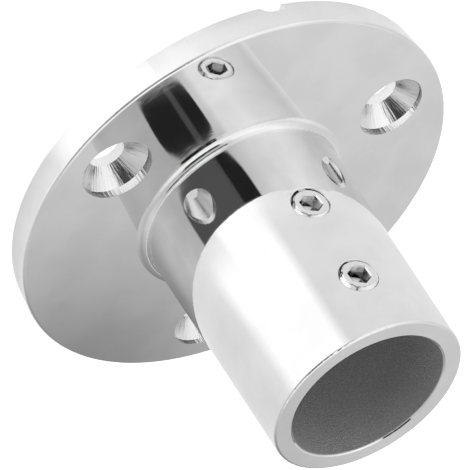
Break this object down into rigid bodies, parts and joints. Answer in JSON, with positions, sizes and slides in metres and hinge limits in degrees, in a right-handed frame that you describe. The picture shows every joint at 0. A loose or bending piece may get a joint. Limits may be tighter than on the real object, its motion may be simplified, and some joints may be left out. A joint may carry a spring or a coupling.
{
  "type": "tube clamp base flange",
  "caption": "Polished stainless base flange with a socket tube held by two set screws, countersunk fixing holes and drain notches in the foot of its rim.",
  "frame": {"origin": "centre of the base's underside, on the socket's axis", "axes": "+Z along the socket from the base to its mouth, -Y towards the two set screws, +X to the right as seen from the set screws' side with the mouth up"},
  "size_m": [0.0746, 0.0745, 0.0484],
  "materials": {
    "polished_steel": "mirror polished stainless steel, fine cast grain left in the bore",
    "screw_steel": "bright turned stainless steel"
  },
  "bodies": {
    "root": {"flange_body": "polished_steel", "set_screw_lower": "screw_steel", "set_screw_upper": "screw_steel"}
  },
  "joints": []
}
